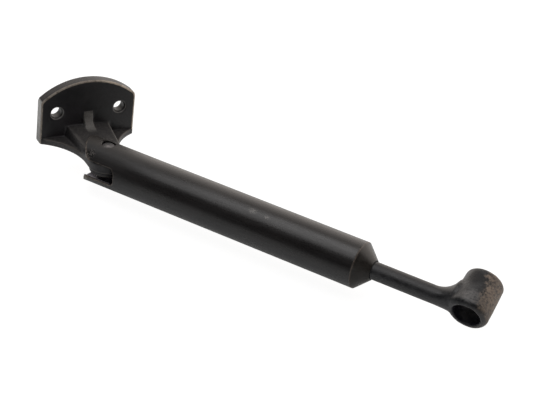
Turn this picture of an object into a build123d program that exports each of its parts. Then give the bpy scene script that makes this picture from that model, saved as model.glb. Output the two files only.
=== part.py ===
from build123d import *
from math import cos, pi, radians, sin, sqrt, tan
import os

# A spring-loaded cabinet door stay: a screwed-on bracket, a tube that swings on the bracket's
# tongue, and a rod with an eye that slides in the tube against a compression spring.
# Millimetres. +X leaves the wall, +Z runs along the pivot pin, and the origin lies on the
# plate's back face, midway between the two screw holes.

# Rest pose
swing_angle = 33.1
eye_roll = 25.2

# Barrel tube
tube_od = 21.0
tube_wall = 1.5
tube_length = 132.0
slot_corner_radius = 3.0

# Bracket plate
plate_width = 46.6
plate_thickness = 5.5
plate_to_pivot = 26.7
plate_arch_height = 29.7
plate_arch_radius = 34.7
plate_corner_radius = 2.6
plate_foot_radius = 0.5
plate_foot_drop = 0.7
plate_edge_rounding = 0.6
screw_pitch = 31.0
screw_height = 14.6
screw_hole_diameter = 5.3
screw_mouth_diameter = 6.5
screw_mouth_depth = 0.7

# Bracket web, block, rib and tongue
web_thickness = 2.2
web_scoop_radius = 25.0
block_top_at_plate = 7.4
block_top_at_ears = 5.5
block_top_half_width_at_plate = 10.2
block_top_half_width_at_ears = 8.5
block_side_draft = 1.5
block_to_ears_gap = 0.6
rib_width = 4.2
rib_scoop_radius = 8.2
rib_top = 14.1
tongue_side_step = 1.5
tongue_top = 4.0
tongue_boss_step = 0.8
tongue_boss_drop = 3.0
tongue_rounding = 0.6

# Pivot
pin_diameter = 6.2
pin_dome = 0.5
pin_recess = 0.7
bush_wall = 1.0
spacer_wall = 1.55
running_clearance = 0.05
seat_clearance = 0.02
side_clearance = 0.1
slot_clearance = 0.3
slot_end_gap = 1.2

# Plug at the pivot end of the spring
plug_ring_offset = 4.4
plug_length = 7.0
plug_chamfer = 0.4
plug_spigot_clearance = 1.0
plug_spigot_length = 5.0
plug_spigot_chamfer = 1.0
snap_ring_thickness = 1.0
snap_ring_depth = 0.5
snap_ring_width = 1.9
snap_ring_gap = 4.0
snap_ring_lug_radius = 1.9
snap_ring_lug_hole = 1.4

# Nose of the tube
cone_height = 6.2
cone_mouth_clearance = 0.3
cone_mouth_lip = 0.3
nose_spigot_length = 12.0
guide_wall = 1.6
guide_length = 9.0
guide_recess = 1.0
wiper_wall = 2.0
wiper_length = 2.6
wiper_offset = 0.4
nose_ring_offset = 7.0
nose_ring_thickness = 1.0
nose_ring_gap = 3.0

# Rod and eye
rod_diameter = 8.0
rod_end_diameter = 6.0
eye_distance = 182.8
eye_front_diameter = 18.7
eye_back_diameter = 16.9
eye_bore_diameter = 12.5
eye_front = 3.95
eye_back = 15.8
eye_front_rounding = 2.4
eye_back_rounding = 1.5
eye_bore_chamfer = 0.4
neck_length = 17.0
neck_scoop_radius = 9.6
neck_sweep_angle = 73.0
neck_sections = 5

# Piston and buffer
buffer_clearance = 1.2
buffer_thickness = 3.0
buffer_face_clearance = 0.1
piston_length = 9.0
piston_clearance = 0.08
wear_ring_width = 3.6
wear_ring_depth = 1.3
wear_ring_gap = 0.8
washer_thickness = 1.0
washer_to_spring_gap = 0.5
nut_sides = 6
nut_height = 5.0
nut_to_spring_gap = 0.43
nut_bevel_angle = 30.0
rod_end_stickout = 1.4
thrust_ring_thickness = 1.5
thrust_ring_face_clearance = 0.1

# Main spring
spring_wire = 2.0
spring_side_clearance = 0.8
spring_turns = 20
spring_spans_per_turn = 2
spring_closed_turns = 1
spring_closed_gap = 0.5
spring_end_face_gap = 0.15
spring_samples_per_turn = 48

# Derived places
tube_radius = tube_od / 2
bore_radius = tube_radius - tube_wall
pin_radius = pin_diameter / 2
tongue_half_width = tube_radius - tongue_side_step
slot_height = 2 * (tongue_top + slot_clearance)
slot_depth = tongue_half_width + slot_end_gap
pivot_x = plate_thickness + plate_to_pivot
pivot_z = -screw_height
cone_tip = tube_length + cone_height
rod_radius = rod_diameter / 2
spring_inner_radius = bore_radius - spring_side_clearance - spring_wire
washer_radius = spring_inner_radius - washer_to_spring_gap
nut_corner_radius = spring_inner_radius - nut_to_spring_gap
nut_inscribed_radius = nut_corner_radius * cos(pi / nut_sides)
nose_inner = tube_length - nose_spigot_length
buffer_back = nose_inner - buffer_thickness
piston_front = buffer_back - buffer_face_clearance
piston_back = piston_front - piston_length
thrust_ring_front = piston_back - thrust_ring_face_clearance
thrust_ring_back = thrust_ring_front - thrust_ring_thickness
rod_end = piston_back - washer_thickness - nut_height - rod_end_stickout
snap_ring_start = slot_depth + plug_ring_offset
plug_start = snap_ring_start + snap_ring_thickness
plug_inner = plug_start + plug_length
neck_start = eye_distance - neck_length
plate_back = -plate_to_pivot - plate_thickness
plate_side_height = plate_arch_height - plate_arch_radius + sqrt(plate_arch_radius**2 - plate_width**2 / 4)

bracket_place = Location((pivot_x, 0, pivot_z))
barrel_place = bracket_place * Rotation(0, 0, swing_angle)
rod_place = barrel_place * Rotation(eye_roll, 0, 0)


def along_x(radius, start, end):
    """A solid cylinder on the X axis, from start to end."""
    return Pos((start + end) / 2, 0, 0) * Rotation(0, 90, 0) * Cylinder(radius, end - start)


def ring_along_x(outer_radius, inner_radius, start, end):
    """A plain ring on the X axis."""
    return along_x(outer_radius, start, end) - along_x(inner_radius, start, end)


def upright(radius, bottom, top):
    """A solid cylinder on the Z axis, from bottom to top."""
    return Pos(0, 0, (bottom + top) / 2) * Cylinder(radius, top - bottom)


def turned(points):
    """A solid of revolution on the X axis, from (x, radius) points."""
    outline = Polyline([(x, 0, radius) for x, radius in points], close=True)
    return revolve(make_face(outline), Axis.X)


def plate():
    """The arched plate with its two screw holes, about the pivot."""
    half = plate_width / 2
    outline = Line((-half, -plate_foot_drop), (half, -plate_foot_drop))
    outline += Line((half, -plate_foot_drop), (half, plate_side_height))
    outline += ThreePointArc((half, plate_side_height), (0, plate_arch_height), (-half, plate_side_height))
    outline += Line((-half, plate_side_height), (-half, -plate_foot_drop))
    face = make_face(outline)
    corners = face.vertices().sort_by(Axis.Y)
    face = fillet(corners[2:], plate_corner_radius)
    feet = face.vertices().sort_by(Axis.Y)[:2]
    face = fillet(feet, plate_foot_radius)
    on_back = Plane(origin=(plate_back, 0, 0), x_dir=(0, 1, 0), z_dir=(1, 0, 0))
    body = extrude(on_back * face, plate_thickness)
    faces = body.faces().sort_by(Axis.X)
    return fillet(faces[0].edges() + faces[-1].edges(), plate_edge_rounding)


def screw_holes():
    """The two clearance holes through the plate, each with a shallow countersunk mouth."""
    radius = screw_hole_diameter / 2
    flare = screw_mouth_diameter / 2 - radius
    hole = along_x(radius, plate_back - plate_thickness, plate_thickness - plate_to_pivot)
    mouth = Rotation(0, 90, 0) * Cone(radius, radius + 2 * flare, 2 * screw_mouth_depth)
    hole += Pos(-plate_to_pivot, 0, 0) * mouth
    return [Pos(0, side * screw_pitch / 2, screw_height) * hole for side in (-1, 1)]


def web_outline():
    """The low web's plan: full plate width, scooped in to the tongue, round about the pin."""
    half = plate_width / 2
    scoop_rise = half - tongue_half_width
    scoop_run = sqrt(web_scoop_radius**2 - (web_scoop_radius - scoop_rise) ** 2)
    scoop_end = -plate_to_pivot + scoop_run
    middle_run = scoop_run / 2
    middle_rise = web_scoop_radius - sqrt(web_scoop_radius**2 - middle_run**2)
    middle = (scoop_end - middle_run, tongue_half_width + middle_rise)
    outline = Line((-plate_to_pivot, -half), (-plate_to_pivot, half))
    for side in (1, -1):
        start = (-plate_to_pivot, side * half)
        end = (scoop_end, side * tongue_half_width)
        outline += ThreePointArc(start, (middle[0], side * middle[1]), end)
        outline += Line(end, (0, side * tongue_half_width))
    outline += ThreePointArc((0, tongue_half_width), (tongue_half_width, 0), (0, -tongue_half_width))
    return make_face(outline)


def tongue():
    """The tongue's knuckle, neck and lower boss, which sit in the tube's slot."""
    reach = tube_radius + block_to_ears_gap
    knuckle = upright(tongue_half_width, 0, tongue_top)
    knuckle = fillet(knuckle.edges().group_by(Axis.Z)[-1], tongue_rounding)
    neck = Pos(-reach / 2, 0, tongue_top / 2) * Box(reach, tongue_half_width * 2, tongue_top)
    boss = upright(tongue_half_width - tongue_boss_step, -tongue_boss_drop, tongue_top / 2)
    boss = fillet(boss.edges().group_by(Axis.Z)[0], tongue_rounding)
    return knuckle + neck + boss


def block():
    """The raised block between the plate and the ears, hollowed to clear them."""
    at_plate = [
        (-block_top_half_width_at_plate - block_side_draft, 0),
        (block_top_half_width_at_plate + block_side_draft, 0),
        (block_top_half_width_at_plate, block_top_at_plate),
        (-block_top_half_width_at_plate, block_top_at_plate),
    ]
    at_pivot = [
        (-block_top_half_width_at_ears, 0),
        (block_top_half_width_at_ears, 0),
        (block_top_half_width_at_ears, block_top_at_ears),
        (-block_top_half_width_at_ears, block_top_at_ears),
    ]
    far = Plane(origin=(-plate_to_pivot, 0, 0), x_dir=(0, 1, 0), z_dir=(1, 0, 0))
    near = Plane(origin=(-(tube_radius + block_to_ears_gap) / 2, 0, 0), x_dir=(0, 1, 0), z_dir=(1, 0, 0))
    far_end = far * make_face(Polyline(at_plate, close=True))
    near_end = near * make_face(Polyline(at_pivot, close=True))
    body = loft([far_end, near_end], ruled=True)
    clear = upright(tube_radius + block_to_ears_gap, tongue_top, tube_od)
    return body - clear


def rib():
    """The centre rib, a quarter-round scoop from the plate down into the block."""
    start = -plate_to_pivot
    end = start + rib_scoop_radius
    foot = rib_top - rib_scoop_radius
    arc_middle = (end - rib_scoop_radius / sqrt(2), rib_top - rib_scoop_radius / sqrt(2))
    outline = ThreePointArc((start, rib_top), arc_middle, (end, foot))
    outline += Polyline((end, foot), (end, web_thickness), (start, web_thickness), (start, rib_top))
    side = Plane(origin=(0, 0, 0), x_dir=(1, 0, 0), z_dir=(0, -1, 0))
    return extrude(side * make_face(outline), rib_width / 2, both=True)


def mounting_bracket():
    """The cast bracket in one piece: plate, web, block, rib and tongue."""
    web = extrude(web_outline(), web_thickness + plate_foot_drop)
    body = plate() + Pos(0, 0, -plate_foot_drop) * web
    body += tongue()
    body += block()
    body += rib()
    body -= upright(pin_radius + running_clearance + bush_wall + seat_clearance, -tube_od, tube_od)
    for hole in screw_holes():
        body -= hole
    return bracket_place * body


def pivot_bush():
    """The plain bush pressed into the tongue."""
    outer = pin_radius + running_clearance + bush_wall
    body = upright(outer, -tongue_boss_drop, tongue_top)
    body -= upright(pin_radius + running_clearance, -tube_od, tube_od)
    return bracket_place * body


def barrel_tube():
    """The tube, slotted and rounded at the pivot, grooved inside for the two rings."""
    body = ring_along_x(tube_radius, bore_radius, -tube_radius, tube_length)
    ears = upright(tube_radius, -tube_od, tube_od)
    ears += Pos(tube_length / 2, 0, 0) * Box(tube_length, tube_od * 2, tube_od * 2)
    body = body & ears
    slot = Box(tube_od + slot_depth, tube_od * 2, slot_height)
    slot = fillet(slot.edges().filter_by(Axis.Y).group_by(Axis.X)[-1], slot_corner_radius)
    body -= Pos(slot_depth - (tube_od + slot_depth) / 2, 0, 0) * slot
    body -= upright(pin_radius + seat_clearance, -tube_od, tube_od)
    for start, width in ring_grooves():
        body -= ring_along_x(bore_radius + snap_ring_depth, bore_radius - tube_wall, start, start + width)
    return barrel_place * body


def ring_grooves():
    """Start and width of the two grooves in the tube's bore."""
    plug_groove = (snap_ring_start - running_clearance, snap_ring_thickness + 2 * running_clearance)
    nose_start = tube_length - nose_ring_offset - nose_ring_thickness
    nose_groove = (nose_start - running_clearance, nose_ring_thickness + 2 * running_clearance)
    return [plug_groove, nose_groove]


def pivot_pin():
    """The headless pin pressed through both ears, with domed ends."""
    end = tube_radius - pin_recess
    body = upright(pin_radius, -end, end)
    body = fillet(body.edges().filter_by(GeomType.CIRCLE), pin_dome)
    return barrel_place * body


def pivot_spacer(side):
    """A spacer on the pin, from the tongue to the tube's wall."""
    radius = pin_radius + running_clearance + spacer_wall
    wall = sqrt(bore_radius**2 - radius**2) - side_clearance
    near = tongue_top if side > 0 else tongue_boss_drop
    body = upright(radius, near + side_clearance, wall)
    body -= upright(pin_radius + running_clearance, 0, tube_od)
    if side < 0:
        body = mirror(body, Plane.XY)
    return barrel_place * body


def end_plug():
    """The plug that closes the tube behind the slot and centres the spring."""
    body = along_x(bore_radius - seat_clearance, plug_start, plug_inner)
    body = chamfer(body.edges().filter_by(GeomType.CIRCLE), plug_chamfer)
    spigot_radius = spring_inner_radius - plug_spigot_clearance
    spigot = along_x(spigot_radius, plug_inner, plug_inner + plug_spigot_length)
    spigot = chamfer(spigot.edges().group_by(Axis.X)[-1], plug_spigot_chamfer)
    return barrel_place * (body + spigot)


def plug_snap_ring():
    """The internal retaining ring that holds the plug against the spring."""
    outer = bore_radius + snap_ring_depth - running_clearance
    inner = outer - snap_ring_width
    end = snap_ring_start + snap_ring_thickness
    body = ring_along_x(outer, inner, snap_ring_start, end)
    lug_side = snap_ring_gap / 2 + snap_ring_lug_radius
    lug_radius = bore_radius - snap_ring_lug_radius - side_clearance
    lug_height = sqrt(lug_radius**2 - lug_side**2)
    gap = Box(snap_ring_thickness * 2, snap_ring_gap, bore_radius)
    gap = Pos((snap_ring_start + end) / 2, 0, bore_radius) * gap
    for side in (-1, 1):
        body += Pos(0, side * lug_side, lug_height) * along_x(snap_ring_lug_radius, snap_ring_start, end)
    for side in (-1, 1):
        body -= Pos(0, side * lug_side, lug_height) * along_x(snap_ring_lug_hole / 2, snap_ring_start, end)
    return barrel_place * (body - gap)


def nose_cone():
    """The conical nose: its spigot fills the tube's end and holds the guide and the wiper."""
    spigot_radius = bore_radius - seat_clearance
    guide_radius = rod_radius + running_clearance + guide_wall + seat_clearance
    guide_end = nose_inner + guide_recess + guide_length
    throat = rod_radius + cone_mouth_clearance
    wiper_start = tube_length + wiper_offset
    wiper_radius = rod_radius + running_clearance + wiper_wall + seat_clearance
    body = turned([
        (nose_inner, guide_radius),
        (nose_inner, spigot_radius),
        (tube_length, spigot_radius),
        (tube_length, tube_radius),
        (cone_tip, throat + cone_mouth_lip),
        (cone_tip, throat),
        (wiper_start + wiper_length, throat),
        (wiper_start + wiper_length, wiper_radius),
        (wiper_start, wiper_radius),
        (wiper_start, throat),
        (guide_end, throat),
        (guide_end, guide_radius),
    ])
    start, width = ring_grooves()[1]
    groove_floor = bore_radius - snap_ring_depth - running_clearance
    body -= ring_along_x(tube_radius, groove_floor, start, start + width)
    return barrel_place * body


def nose_snap_ring():
    """The open ring that locks the nose's spigot in the tube."""
    start = tube_length - nose_ring_offset - nose_ring_thickness
    outer = bore_radius + snap_ring_depth - running_clearance
    inner = bore_radius - snap_ring_depth
    body = ring_along_x(outer, inner, start, start + nose_ring_thickness)
    gap = Box(nose_ring_thickness * 2, nose_ring_gap, tube_wall * 2)
    gap = Pos(start + nose_ring_thickness / 2, 0, -bore_radius) * gap
    return barrel_place * (body - gap)


def rod_guide():
    """The plain bush that guides the rod in the nose."""
    start = nose_inner + guide_recess
    outer = rod_radius + running_clearance + guide_wall
    body = ring_along_x(outer, rod_radius + running_clearance, start, start + guide_length)
    return barrel_place * body


def rod_wiper():
    """The wiper ring behind the cone's mouth."""
    start = tube_length + wiper_offset + seat_clearance
    outer = rod_radius + running_clearance + wiper_wall
    end = start + wiper_length - 2 * seat_clearance
    return barrel_place * ring_along_x(outer, rod_radius + running_clearance, start, end)


def stop_buffer():
    """The rubber ring that the piston meets at full extension."""
    inner = rod_radius + cone_mouth_clearance
    body = ring_along_x(bore_radius - buffer_clearance, inner, buffer_back, nose_inner)
    return barrel_place * body


def spring_path():
    """The wire's centre line: a helix of short arcs with closed end turns."""
    mean_radius = spring_inner_radius + spring_wire / 2
    first = plug_inner + spring_wire / 2 + spring_end_face_gap
    last = thrust_ring_back - spring_wire / 2 - spring_end_face_gap
    closed_pitch = spring_wire + spring_closed_gap
    open_turns = spring_turns - 2 * spring_closed_turns
    open_pitch = (last - first - 2 * spring_closed_turns * closed_pitch) / open_turns
    span = 1 / spring_spans_per_turn

    def advance(turns):
        closed = min(turns, spring_closed_turns) + max(turns - spring_turns + spring_closed_turns, 0)
        return first + closed * closed_pitch + (turns - closed) * open_pitch

    def point(turns):
        angle = radians(360 * turns)
        return Vector(advance(turns), mean_radius * cos(angle), mean_radius * sin(angle))

    def heading(turns):
        angle = radians(360 * turns)
        low = max(turns - span / 2, 0)
        high = min(turns + span / 2, spring_turns)
        climb = (advance(high) - advance(low)) / (high - low) / radians(360)
        return Vector(climb, -mean_radius * sin(angle), mean_radius * cos(angle)).normalized()

    arcs = []
    for step in range(spring_turns * spring_spans_per_turn):
        low = step * span
        high = low + span
        arcs += biarc(point(low), heading(low), point(high), heading(high))
    return arcs


def biarc(start, start_heading, end, end_heading):
    """Two arcs that join two points with the given headings."""
    across = end - start
    both = start_heading + end_heading
    square = 2 * (1 - start_heading.dot(end_heading))
    lean = across.dot(both)
    reach = (sqrt(lean**2 + square * across.dot(across)) - lean) / square
    first_pole = start + start_heading * reach
    last_pole = end - end_heading * reach
    middle = (first_pole + last_pole) / 2
    first = TangentArc(start, middle, tangent=start_heading)
    second = TangentArc(middle, end, tangent=(last_pole - first_pole).normalized())
    return [first, second]


def least_spring_gap(wire):
    """The least gap between neighbouring turns, measured on points of the centre line."""
    count = spring_turns * spring_samples_per_turn
    samples = [wire.position_at(step / count) for step in range(count + 1)]
    nearest = spring_samples_per_turn // 2
    farthest = nearest + spring_samples_per_turn
    least = tube_od
    for index, here in enumerate(samples):
        for there in samples[index + nearest:index + farthest]:
            least = min(least, (there - here).length - spring_wire)
    return least


def main_spring():
    """The compression spring, one unbroken wire between the plug and the thrust ring."""
    arcs = spring_path()
    first = arcs[0]
    last = arcs[-1]
    lead_in = Line(first @ 0 - (first % 0) * spring_wire, first @ 0)
    lead_out = Line(last @ 1, last @ 1 + (last % 1) * spring_wire)
    path = Wire([lead_in.edge()] + [arc.edge() for arc in arcs] + [lead_out.edge()])
    print("least gap between the spring's turns:", round(least_spring_gap(path), 3), "mm")
    section = Plane(origin=path @ 0, z_dir=path % 0) * Circle(spring_wire / 2)
    return barrel_place * sweep(section, path=path)


def thrust_ring():
    """The ring on the piston's back face that the spring pushes."""
    inner = washer_radius + washer_to_spring_gap
    body = ring_along_x(bore_radius - side_clearance, inner, thrust_ring_back, thrust_ring_front)
    return rod_place * body


def piston_head():
    """The piston on the rod's inner end, with a groove for the wear ring."""
    radius = bore_radius - piston_clearance
    body = ring_along_x(radius, rod_end_diameter / 2 + seat_clearance, piston_back, piston_front)
    middle = (piston_back + piston_front) / 2
    half = wear_ring_width / 2 + running_clearance
    groove_floor = bore_radius - wear_ring_depth - running_clearance
    body -= ring_along_x(tube_radius, groove_floor, middle - half, middle + half)
    return rod_place * body


def piston_wear_ring():
    """The split ring that carries the piston in the bore."""
    middle = (piston_back + piston_front) / 2
    outer = bore_radius - running_clearance
    start = middle - wear_ring_width / 2
    body = ring_along_x(outer, bore_radius - wear_ring_depth, start, start + wear_ring_width)
    body -= Pos(middle, 0, bore_radius) * Box(wear_ring_width * 2, wear_ring_gap, bore_radius)
    return rod_place * body


def piston_washer():
    """The washer under the piston's nut."""
    body = ring_along_x(
        washer_radius, rod_end_diameter / 2 + seat_clearance, piston_back - washer_thickness, piston_back
    )
    return rod_place * body


def piston_nut():
    """The nut on the rod's inner end."""
    end = piston_back - washer_thickness
    hexagon = RegularPolygon(nut_corner_radius, nut_sides)
    face = Plane(origin=(end - nut_height, 0, 0), z_dir=(1, 0, 0)) * hexagon
    body = extrude(face, nut_height)
    bevel = (nut_corner_radius - nut_inscribed_radius) * tan(radians(nut_bevel_angle))
    body = body & turned([
        (end - nut_height, 0),
        (end - nut_height, nut_inscribed_radius),
        (end - nut_height + bevel, nut_corner_radius),
        (end - bevel, nut_corner_radius),
        (end, nut_inscribed_radius),
        (end, 0),
    ])
    body -= along_x(rod_end_diameter / 2 + seat_clearance, end - nut_height, end)
    return rod_place * body


def neck():
    """The forged neck between the rod and the eye, a loft through circles."""
    sections = []
    for step in range(neck_sections + 1):
        angle = radians(neck_sweep_angle * step / neck_sections)
        run = neck_scoop_radius * sin(angle)
        rise = neck_scoop_radius * (1 - cos(angle))
        centre = (neck_start + run, rise / 2, 0)
        sections.append(Plane(origin=centre, z_dir=(1, 0, 0)) * Circle(rod_radius + rise / 2))
    tail = along_x(rod_radius + rise / 2, neck_start + run, eye_distance - eye_bore_diameter / 2)
    return loft(sections) + Pos(0, rise / 2, 0) * tail


def eye_bore():
    """The eye's bore as a solid to cut away, flared at both mouths."""
    radius = eye_bore_diameter / 2
    over = eye_bore_chamfer
    bore = turned([
        (-eye_front - over, 0),
        (-eye_front - over, radius + over + eye_bore_chamfer),
        (-eye_front + eye_bore_chamfer, radius),
        (eye_back - eye_bore_chamfer, radius),
        (eye_back + over, radius + over + eye_bore_chamfer),
        (eye_back + over, 0),
    ])
    return Pos(eye_distance, 0, 0) * Rotation(0, 0, 90) * bore


def eye_boss():
    """The eye's thick ring, drafted towards its back and with soft forged rims."""
    boss = Rotation(90, 0, 0) * Cone(eye_back_diameter / 2, eye_front_diameter / 2, eye_back + eye_front)
    boss = Pos(eye_distance, (eye_back - eye_front) / 2, 0) * boss
    boss = fillet(boss.edges().group_by(Axis.Y)[0], eye_front_rounding)
    return fillet(boss.edges().group_by(Axis.Y)[-1], eye_back_rounding)


def eye_rod():
    """The rod and its eye in one forging, stepped down inside for the piston."""
    body = along_x(rod_end_diameter / 2, rod_end, piston_front)
    body += along_x(rod_radius, piston_front, neck_start)
    behind_mouth = Box(eye_distance, eye_back * 2, eye_front_diameter * 2)
    body += neck() & (Pos(eye_distance, eye_back - eye_front, 0) * behind_mouth)
    body += eye_boss()
    body -= eye_bore()
    return rod_place * body


os.makedirs("parts", exist_ok=True)
pieces = {
    "mounting_bracket": mounting_bracket(),
    "pivot_bush": pivot_bush(),
    "barrel_tube": barrel_tube(),
    "pivot_pin": pivot_pin(),
    "upper_pivot_spacer": pivot_spacer(1),
    "lower_pivot_spacer": pivot_spacer(-1),
    "end_plug": end_plug(),
    "plug_snap_ring": plug_snap_ring(),
    "nose_cone": nose_cone(),
    "nose_snap_ring": nose_snap_ring(),
    "rod_guide": rod_guide(),
    "rod_wiper": rod_wiper(),
    "stop_buffer": stop_buffer(),
    "main_spring": main_spring(),
    "thrust_ring": thrust_ring(),
    "eye_rod": eye_rod(),
    "piston_head": piston_head(),
    "piston_wear_ring": piston_wear_ring(),
    "piston_washer": piston_washer(),
    "piston_nut": piston_nut(),
}
for name, piece in pieces.items():
    export_step(piece, f"parts/{name}.step")
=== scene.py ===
import math
from types import SimpleNamespace

import bpy
import numpy as np
from mathutils import Matrix, Vector, noise


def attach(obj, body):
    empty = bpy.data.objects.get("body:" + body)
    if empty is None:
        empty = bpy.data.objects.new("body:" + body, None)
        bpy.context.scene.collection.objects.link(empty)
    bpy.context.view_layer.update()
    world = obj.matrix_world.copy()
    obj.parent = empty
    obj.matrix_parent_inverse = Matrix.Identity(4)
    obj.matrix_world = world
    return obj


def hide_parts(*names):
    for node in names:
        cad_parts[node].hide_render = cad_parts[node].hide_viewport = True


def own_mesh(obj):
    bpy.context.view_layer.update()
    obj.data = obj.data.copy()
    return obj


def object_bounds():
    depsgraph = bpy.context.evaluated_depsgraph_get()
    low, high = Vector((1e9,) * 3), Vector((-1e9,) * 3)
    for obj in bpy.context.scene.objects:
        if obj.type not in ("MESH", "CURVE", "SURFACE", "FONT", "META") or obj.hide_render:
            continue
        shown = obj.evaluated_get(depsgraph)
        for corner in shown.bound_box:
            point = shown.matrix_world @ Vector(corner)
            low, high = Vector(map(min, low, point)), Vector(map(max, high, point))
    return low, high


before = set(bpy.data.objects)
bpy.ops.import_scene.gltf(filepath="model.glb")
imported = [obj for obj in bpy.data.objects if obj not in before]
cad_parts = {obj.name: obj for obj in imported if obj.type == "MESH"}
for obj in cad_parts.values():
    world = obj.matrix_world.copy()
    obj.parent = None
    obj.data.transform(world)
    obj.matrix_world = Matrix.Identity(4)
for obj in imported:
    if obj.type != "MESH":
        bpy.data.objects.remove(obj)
cad_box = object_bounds()

# Camera as fitted to the photograph, in metres and degrees, its lens and sensor in millimetres

CAMERA_AT = Vector((0.58439, -0.23688, 0.31023))
CAMERA_AIM = Vector((0.08417, 0.05809, -0.0146))
CAMERA_ROLL = 7.77
CAMERA_LENS = 98.5
CAMERA_SENSOR = 36
CAMERA_CLIP = (0.05, 20)

# The part's own measures, in millimetres and degrees

MM = 0.001
PIVOT = Vector((32.2, 0, -14.6))
SWING = 33.1
EYE_ROLL = 25.2
PLATE_FACE = 5.5
SCREW_SPOTS = ((0, -15.5, 0), (0, 15.5, 0))
TUBE_RADIUS = 10.5
BORE_RADIUS = 9.0
TUBE_LENGTH = 132.0
PIN_RADIUS = 3.1
PIN_END = 9.8
PISTON_FRONT = 116.9
ROD_END_RADIUS = 3.0
ROD_RADIUS = 4.0
NECK_START = 165.8
EYE_AT = 182.8

# The frames of the whole part, of the barrel and of the rod

PART = Matrix.Identity(4)
BARREL = Matrix.Translation(PIVOT) @ Matrix.Rotation(math.radians(SWING), 4, "Z")
ROD = BARREL @ Matrix.Rotation(math.radians(EYE_ROLL), 4, "X")


def make_camera():
    data = bpy.data.cameras.new("camera")
    data.lens = CAMERA_LENS
    data.sensor_width = CAMERA_SENSOR
    data.clip_start, data.clip_end = CAMERA_CLIP
    camera = bpy.data.objects.new("camera", data)
    bpy.context.collection.objects.link(camera)
    aim = (CAMERA_AIM - CAMERA_AT).to_track_quat("-Z", "Y").to_matrix().to_4x4()
    roll = Matrix.Rotation(math.radians(CAMERA_ROLL), 4, "Z")
    camera.matrix_world = Matrix.Translation(CAMERA_AT) @ aim @ roll
    bpy.context.scene.camera = camera


# Node helpers that the studio and the materials share

def smooth_ramp(tree, value, edges, ends):
    """Maps the two edges to the two ends smoothly, held outside them."""
    node = tree.nodes.new("ShaderNodeMapRange")
    node.interpolation_type = "SMOOTHSTEP"
    for key, number in zip(("From Min", "From Max", "To Min", "To Max"), (*edges, *ends)):
        node.inputs[key].default_value = number
    tree.links.new(value, node.inputs["Value"])
    return node.outputs["Result"]


def reach(tree, coords, way):
    """How far the coordinates lie along a way."""
    node = tree.nodes.new("ShaderNodeVectorMath")
    node.operation = "DOT_PRODUCT"
    node.inputs[1].default_value = way
    tree.links.new(coords, node.inputs[0])
    return node.outputs["Value"]


def axes(tree, coords):
    node = tree.nodes.new("ShaderNodeSeparateXYZ")
    tree.links.new(coords, node.inputs[0])
    return [node.outputs[letter] for letter in "XYZ"]


def mix_shaders(tree, share, first, second):
    node = tree.nodes.new("ShaderNodeMixShader")
    for socket, source in zip(node.inputs, (share, first, second)):
        tree.links.new(source, socket)
    return node.outputs[0]


def diffuse(tree, share):
    node = tree.nodes.new("ShaderNodeBsdfDiffuse")
    node.inputs["Color"].default_value = (*share, 1)
    return node.outputs[0]


def glowing(tree, share, strength):
    """A diffuse surface that also gives off white light."""
    glow = tree.nodes.new("ShaderNodeEmission")
    glow.inputs["Strength"].default_value = strength
    both = tree.nodes.new("ShaderNodeAddShader")
    tree.links.new(glow.outputs[0], both.inputs[0])
    tree.links.new(diffuse(tree, share), both.inputs[1])
    return both.outputs[0]


# Studio, in metres: ways to its lights, their levels and colours, and edges between which they fade

BACKDROP_WAY = Vector((-0.62, 0.78, 0)).normalized()
BACKDROP_LIGHT = (1.0, 0.925, 0.865)
BACKDROP_LEVEL = 1.4
BACKDROP_EDGE = (0.0, 0.42)
BACKDROP_TOP = (0.55, 1.0)
BACKDROP_TOP_SHARE = 0.3
DIM_LIGHT = 0.06
SOFTBOX_WAY = Vector((0.05, -0.34, 0.94)).normalized()
SOFTBOX_LIGHT = (1.0, 0.985, 0.985)
SOFTBOX_SIDE = 1.1
SOFTBOX_DISTANCE = 1.2
SOFTBOX_LEVEL = 2.0
FLOOR_SIDE = 3.0
FLOOR_GAP = 0.0045
FLOOR_GLOW = 0.918
FLOOR_SHARE = (0.22, 0.22, 0.22)
PAPER_GLOW = 0.12
PAPER_SHARE = (0.87, 0.90, 0.915)
PAPER_WAY = Vector((0.546, -0.838, 0))
PAPER_FADE = (0.05, 0.16)
PAPER_END = (0.26, 0.34)
ROOM_SHARE = (0.03, 0.03, 0.03)


def make_world():
    """A plain pale background for the camera; the object sees a bright backdrop in a dim room."""
    world = bpy.data.worlds.new("studio")
    bpy.context.scene.world = world
    world.use_nodes = True
    tree = world.node_tree
    tree.nodes.clear()
    coords = tree.nodes.new("ShaderNodeTexCoord").outputs["Generated"]
    behind = reach(tree, coords, BACKDROP_WAY)
    _, _, above = axes(tree, coords)
    level = tree.nodes.new("ShaderNodeMath")
    level.operation = "MULTIPLY_ADD"
    tree.links.new(smooth_ramp(tree, behind, BACKDROP_EDGE, (0.0, BACKDROP_LEVEL)), level.inputs[0])
    tree.links.new(smooth_ramp(tree, above, BACKDROP_TOP, (1.0, BACKDROP_TOP_SHARE)), level.inputs[1])
    level.inputs[2].default_value = DIM_LIGHT
    room = tree.nodes.new("ShaderNodeBackground")
    room.inputs["Color"].default_value = (*BACKDROP_LIGHT, 1)
    tree.links.new(level.outputs[0], room.inputs["Strength"])
    plain = tree.nodes.new("ShaderNodeBackground")
    path = tree.nodes.new("ShaderNodeLightPath")
    seen = mix_shaders(tree, path.outputs["Is Camera Ray"], room.outputs[0], plain.outputs[0])
    out = tree.nodes.new("ShaderNodeOutputWorld")
    tree.links.new(seen, out.inputs["Surface"])


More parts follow.
